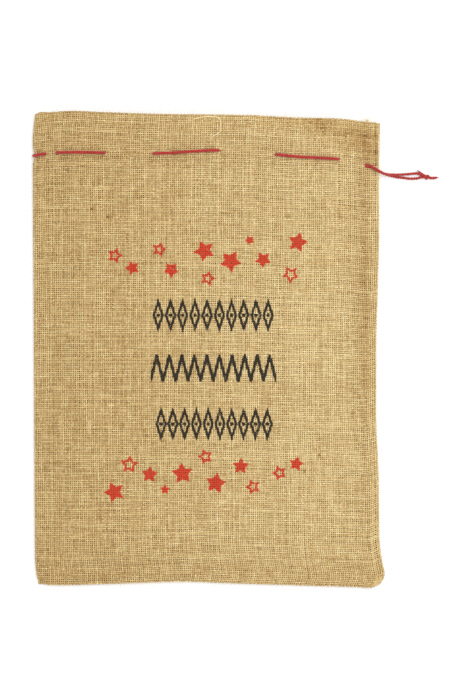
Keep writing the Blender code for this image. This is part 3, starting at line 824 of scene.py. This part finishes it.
def hem_stitching(grid):
    """The thread that holds each layer's hem, zigzagging between the two plies, front and back."""
    for name, columns, way in (("front", FRONT, -1), ("back", BACK, 1)):
        hemmed = ~np.isnan(grid[columns, TOP + 1, 0])
        line = grid[columns, TOP - HEM_YARNS][hemmed] + np.array([0, 0, way * TURN_R])
        line[:, 1] += THREAD_SWING * (-1.0) ** np.arange(len(line))
        line = fine_route(line, 0.8)
        bundle = Bundle()
        bundle.add(thin_rings(line, THREAD_R, tip=1.0), line * (1, 1, 0), np.zeros(len(line)))
        made = bundle.piece(f"{name}_hem_stitching", SEAM_THREAD)
        stands_for(f"{name}_hem_thread")


# ---- camera, light and floor
VIEW_CENTRE = (23.4, -0.2)
VIEW_HEIGHT = 609.0  # what the picture shows from bottom to top, at the sack
LENS, SENSOR = 100.0, 36.0
CAMERA_HEIGHT = VIEW_HEIGHT * LENS / SENSOR + 11.0
FLOOR_HALF, FLOOR_DROP = 4.0, 0.0002  # metres
FLOOR_TONES = (0.90, 0.93)
WORLD_LIGHT = 1.05
KEY_PLACE, KEY_SIZE, KEY_WATTS = (0.7, 0.5, 2.2), 1.4, 22.5  # metres


def add_camera():
    camera = new_object("camera", bpy.data.cameras.new("camera"))
    camera.data.sensor_width = SENSOR
    camera.data.lens = LENS
    camera.location = (VIEW_CENTRE[0] * MM, VIEW_CENTRE[1] * MM, CAMERA_HEIGHT * MM)
    bpy.context.scene.camera = camera


def add_floor():
    mesh = bpy.data.meshes.new("floor")
    corners = [(x * FLOOR_HALF, y * FLOOR_HALF, 0) for x, y in ((-1, -1), (1, -1), (1, 1), (-1, 1))]
    mesh.from_pydata(corners, [], [(0, 1, 2, 3)])
    floor = new_object("floor", mesh)
    floor.location.z = -FLOOR_DROP
    pale, maths, shader = new_material("pale_floor", 1.0)
    shader.inputs["Specular IOR Level"].default_value = 0.0
    tint = maths.noise(maths.node("ShaderNodeTexCoord").outputs["Object"], 3.0)
    stops = [(at, (tone, tone, tone)) for at, tone in zip((0.0, 1.0), FLOOR_TONES)]
    maths.link(maths.ramp(tint, stops), shader.inputs["Base Color"])
    mesh.materials.append(pale)


def add_lights():
    """A bright even studio, and one large soft lamp overhead that faces the sack."""
    world = bpy.data.worlds.new("studio")
    world.use_nodes = True
    background = world.node_tree.nodes["Background"]
    background.inputs["Color"].default_value = (1, 1, 1, 1)
    background.inputs["Strength"].default_value = WORLD_LIGHT
    bpy.context.scene.world = world
    key = new_object("key", bpy.data.lights.new("key", "AREA"))
    key.data.shape = "SQUARE"
    key.data.size = KEY_SIZE
    key.data.energy = KEY_WATTS
    key.location = KEY_PLACE
    aim = np.array(KEY_PLACE) / np.linalg.norm(KEY_PLACE)
    key.rotation_euler = (math.acos(aim[2]), 0, math.atan2(aim[1], aim[0]) + math.pi / 2)
    bpy.context.scene.view_settings.view_transform = "Standard"
    bpy.context.scene.cycles.use_denoising = False  # it would smooth the weave away


# ---- the drawstring's route
def stations(low, high, step):
    """Places from low to high, at most step apart."""
    return np.linspace(low, high, max(1, math.ceil((high - low) / step)) + 1)


def through_hole(x, direction, start, end):
    """The cord's side view through a hole at x: a bend, a steep stretch and a bend back, as (x, z) points."""
    rise = end - start
    run_up = (abs(rise) - 2 * BEND_R * (1 - math.cos(BEND_STEEPNESS))) / math.sin(BEND_STEEPNESS)
    half = BEND_R * math.sin(BEND_STEEPNESS) + run_up * math.cos(BEND_STEEPNESS) / 2
    way = math.copysign(1, rise)
    points = []
    for k in range(4):
        angle = BEND_STEEPNESS * k / 3
        away = BEND_R * math.sin(angle)
        drop = BEND_R * (1 - math.cos(angle))
        points.append((x + direction * (away - half), start + way * drop))
    return points + [(2 * x - px, start + end - pz) for px, pz in points[::-1]]


def front_level(x, y, outside):
    """The cord's height over the front layer, or under it."""
    away = PLY / 2 + GAP + CORD_R
    return float(front_z(*shares(x, y))) + (away if outside else -away)


def back_level(x, y, outside):
    """The cord's height beneath the back layer, or over it, the same everywhere."""
    return CORD_R + 0.2 if outside else PLY + GAP + CORD_R


def straight(first, last, step):
    """Places from one X to another, in that order, at most step apart."""
    places = stations(min(first, last), max(first, last), step)
    return places if last > first else places[::-1]


def threaded(first_x, last_x, stitches, level):
    """The cord's line through one layer, between two places along X."""
    direction = 1 if last_x > first_x else -1
    points, last = [], first_x
    for x in sorted(stitch_ends(stitches), reverse=direction < 0) + [last_x]:
        outside = any(a < (x + last) / 2 < b for a, b in stitches)
        run_start = last + (direction * CORD_CLEAR if last != first_x else 0.0)
        run_end = x - (direction * CORD_CLEAR if x != last_x else 0.0)
        for px in straight(run_start, run_end, 7.5):
            y = float(cord_y(px))
            points.append((px, y, level(px, y, outside)))
        if x != last_x:
            y = float(cord_y(x))
            start, end = level(x - direction * 3, y, outside), level(x + direction * 3, y, not outside)
            points += [(px, float(cord_y(px)), pz) for px, pz in through_hole(x, direction, start, end)]
        last = x
    return points


def exit_strand(tail, hole_x, inside_y):
    """One strand's way up through its hole, from under the front layer to where its tail starts."""
    end_x, end_y, over = tail[0]
    under = front_level(EXIT_X, EXIT_Y, False)
    strand = []
    for x, z in through_hole(hole_x, 1, under, over):
        strand.append((x, inside_y + (end_y - inside_y) * (z - under) / (over - under), z))
    return strand + [(end_x - 0.2, end_y, over)]


def round_fold():
    """The cord's half turn round the fold, from the front to the back."""
    y = CORD_LINE[0][1]
    edge = float(through(LEFT_EDGE, shares(ROUND_FOLD, y)[1])) + CORD_PINCH
    low = float(back_z(edge + PANEL_INSET, y))
    centre_x, centre_z = edge + PLY / 2 + (EDGE_Z - low) / 2, (EDGE_Z + low) / 2
    radius = (EDGE_Z - low) / 2 + PLY / 2 + GAP + CORD_R
    turn = [math.radians(90 + 180 * k / 8) for k in range(9)]
    return [(centre_x + radius * math.cos(a), y, centre_z + radius * math.sin(a)) for a in turn]


def ring_points():
    """The cord from its exit, left along the front, round the fold and back along the back to the exit."""
    upper, lower = EXIT_Y + STRAND_SPACING / 2, EXIT_Y - STRAND_SPACING / 2
    first = exit_strand(UPPER_TAIL, HOLE_X - 0.5, upper)
    last = exit_strand(LOWER_TAIL, HOLE_X, lower)
    front = threaded(130.0, -148.0, FRONT_STITCHES, front_level)
    back = threaded(-145.0, 122.0, BACK_STITCHES, back_level)
    climb = [(128.5, lower + 2.0, 4.1), (131.6, lower + 0.6, front_level(EXIT_X, EXIT_Y, False) - 0.1)]
    return first[::-1] + front + round_fold() + back + climb + last


def lengths_along(points):
    """The line's length up to each of its points."""
    return np.concatenate([[0], np.cumsum(np.linalg.norm(np.diff(points, axis=0), axis=1))])


def fine_route(points, step):
    """Evenly spaced points on the smooth curve through a route's own points."""
    points = np.array(points, float)
    along = lengths_along(points)
    t = np.linspace(0, along[-1], max(2, math.ceil(along[-1] / step)) + 1)
    return np.stack([through(list(zip(along, points[:, k])), t) for k in range(3)], axis=1)


# ---- the drawstring's pieces
def carried_frames(line):
    """Two directions square to a line at each point, carried along it without twisting."""
    ahead = unit(np.gradient(line, axis=0))
    side = np.zeros_like(line)
    side[0] = unit(np.cross(ahead[0], (0, 0, 1)))
    for i in range(1, len(line)):
        side[i] = unit(side[i - 1] - ahead[i] * (side[i - 1] @ ahead[i]))
    return side, np.cross(side, ahead)


def cord_rings(line, radius, phase=0.0):
    """Rings of a two-ply cord: a section with two lobes that turns along the line. radius is one number,
    or one for each point."""
    side, up = carried_frames(line)
    angle = np.arange(CORD_SIDES) * math.tau / CORD_SIDES
    turn = (lengths_along(line) / TWIST * math.tau + phase)[:, None]
    lobes = np.reshape(radius, (-1, 1)) * (0.88 + 0.42 * np.abs(np.cos(angle - turn)) ** 0.8)
    wall = side[:, None] * np.cos(angle)[None, :, None] + up[:, None] * np.sin(angle)[None, :, None]
    return line[:, None] + wall * lobes[..., None]


def thin_rings(line, radius, tip=0.45):
    """Four-sided rings along a line, narrowing evenly to a share of their radius at its tip."""
    side, up = carried_frames(line)
    r = radius * np.linspace(1.0, tip, len(line))[:, None]
    return np.stack([line + side * r, line + up * r, line - side * r, line - up * r], axis=1)


def cord_piece(name, points, radius, phase=0.0):
    line = fine_route(points, 0.38)
    tubes = Tubes()
    tubes.add_tube(cord_rings(line, radius, phase))
    return tubes.mesh(name, RED_CORD), line


def stands_for(node):
    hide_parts(node)


def drawstring():
    """The ring through the cloth, the two tails, their knot and the ends beyond it."""
    ring, _ = cord_piece("cord_ring", ring_points(), 1.1 * CORD_R)
    follow_cord(ring)
    stands_for("drawstring_ring")

    knot, ends = overhand_knot(), frayed_ends()
    for piece, node in ((knot, "drawstring_knot"), (ends, "drawstring_cut_end")):
        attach(piece, "drawstring")
        stands_for(node)

    in_knot_x, in_knot_y, in_knot_z = IN_KNOT
    for name, route, phase, beside in (("upper", UPPER_TAIL, 0.0, 0.4), ("lower", LOWER_TAIL, 1.9, 0.0)):
        route = route + [(in_knot_x, in_knot_y + beside, in_knot_z)]
        tail, line = cord_piece(f"cord_tail_{name}", route, 0.9 * CORD_R, phase)
        follow_cord(tail)
        stands_for(f"drawstring_tail_{name}")


def overhand_knot():
    """Both tails tied together: a closed trefoil of doubled cord, drawn tight and flattened."""
    t = np.linspace(0, math.tau, 150, endpoint=False)
    tubes = Tubes()
    for strand in (-0.42, 0.42):
        wide = 1.75 + strand * 0.5
        x = (np.sin(t) + 2 * np.sin(2 * t)) / 3 * wide
        y = (np.cos(t) - 2 * np.cos(2 * t)) / 3 * (wide * 0.72)
        z = -np.sin(3 * t) * 0.62 + strand * 0.5
        line = np.array(KNOT_CENTRE) + np.stack([x, y, z], axis=-1)
        tubes.add_tube(cord_rings(np.concatenate([line, line[:1]]), KNOT_CORD_R))
    return tubes.mesh("cord_knot", RED_CORD)


def frayed_ends():
    """The cord's two ends beyond the knot, each opening into loose fibres at its tip."""
    rng = np.random.default_rng(77)
    tubes = Tubes()
    for route, radius in ((CUT_END, 1.0), (SHORT_END, 0.8)):
        line = fine_route(route, 0.4)
        tubes.add_tube(cord_rings(line, radius * (1 - 0.15 * np.linspace(0, 1, len(line)) ** 4)))
        tip, way = line[-1], unit(line[-1] - line[-4])
        for _ in range(16):
            spread = rng.normal(size=3) * (0.28, 0.28, 0.16)
            reach = rng.uniform(0.5, 1.6)
            s = np.linspace(0, 1, 7)[:, None]
            hair = tip + rng.normal(size=3) * 0.25 + (way + spread * s) * s * reach
            hair[:, 2] = np.maximum(hair[:, 2], 0.18)
            tubes.add_tube(thin_rings(hair, 0.11))
    return tubes.mesh("cord_ends", RED_CORD)


# ---- loose fibres
HAIRS, EDGE_HAIRS, TUFT_HAIRS = 1500, 420, 26
HAIR_POINTS = 6
TUFT = (138.6, 199.0, 8.0)
LOOSE_THREAD = [
    (-12.9, 199.9), (-0.5, 202.3), (6.9, 202.0), (11.0, 198.4), (11.0, 190.5), (8.9, 187.9), (3.1, 184.7),
]


def hair_roots(rng):
    """Crossings of the front panel that a hair grows from: anywhere, and then along its four edges."""
    front = np.arange(FRONT.start, FRONT.stop)
    roots = [(rng.choice(front), rng.integers(LOW, TOP)) for _ in range(HAIRS)]
    for _ in range(EDGE_HAIRS):
        edge = int(rng.integers(4))
        column = {0: FRONT.start, 1: FRONT.stop - 1}.get(edge, rng.choice(front))
        row = {2: LOW, 3: TOP - 1}.get(edge, rng.integers(LOW, TOP))
        roots.append((column, row))
    return roots


def jute_hair(rng, root):
    """A curved hair from a root, lying just over the cloth."""
    turn = rng.uniform(0, math.tau)
    step = rng.uniform(1.6, 5.5) / (HAIR_POINTS - 1)
    s = np.linspace(0, 1, HAIR_POINTS)
    heading = turn + rng.normal(0, 0.9) * s
    x = root[0] + np.concatenate([[0], np.cumsum(np.cos(heading[1:]) * step)])
    y = root[1] + np.concatenate([[0], np.cumsum(np.sin(heading[1:]) * step)])
    z = root[2] + 0.35 + rng.uniform(0.2, 0.9) * np.sin(math.pi * s * 0.8)
    return np.stack([x, y, z], axis=-1)


def fibres(grid):
    """Loose jute hairs standing out of the yarns, one loose yarn end and one pale tuft at the mouth."""
    rng = np.random.default_rng(5)
    bundle = Bundle()
    for column, row in hair_roots(rng):
        hair = jute_hair(rng, grid[column, row])
        tone = np.full(HAIR_POINTS, np.clip(rng.normal(0.66, 0.14), 0.2, 1.0))
        bundle.add(thin_rings(hair, rng.uniform(0.045, 0.085)), hair * (1, 1, 0), tone)
    x, y = fine_route([(*point, 0.0) for point in LOOSE_THREAD], 1.0)[:, :2].T
    line = np.stack([x, y, cloth_height(*shares(x, y), x, y) + 0.8], axis=-1)
    bundle.add(thin_rings(line, 0.6), line * (1, 1, 0), np.linspace(0.72, 1.0, len(line)))
    for _ in range(TUFT_HAIRS):
        s = np.linspace(0, 1, 7)[:, None]
        way = np.array([rng.normal(0.1, 0.55), rng.uniform(0.1, 1.0), rng.uniform(0.1, 0.6)])
        hair = np.array(TUFT) + rng.normal(size=3) * (0.7, 0.5, 0.2) + way * s * rng.uniform(2.0, 4.6)
        flat = np.repeat([[TUFT[0], TUFT[1], 0.0]], 7, axis=0)
        bundle.add(thin_rings(hair, 0.13), flat, np.full(7, 0.8))
    made = bundle.piece("loose_fibres", FIBRE)
    return made


# ---- putting it together
def declare_cloth(warp):
    """Hides the model's cloth pieces, whose place the yarns take."""
    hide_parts("bottom_allowance_front", "bottom_allowance_back")
    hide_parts("front_hem_facing", "back_hem_facing")
    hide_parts("side_allowance_front", "side_allowance_back")
    for piece, node in zip(warp[1:], ("front_panel", "left_fold", "back_panel")):
        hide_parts(node)


def main():
    add_camera()
    add_floor()
    add_lights()
    drawstring()
    grid = crossings()
    weft, warp = sack_cloth(grid)
    hairs = fibres(grid)
    hem_stitching(grid)
    declare_cloth(warp)
    for node in ("side_seam_thread", "bottom_seam_thread"):
        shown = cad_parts[node]
        shown.data.materials.clear()
        shown.data.materials.append(SEAM_THREAD)


main()
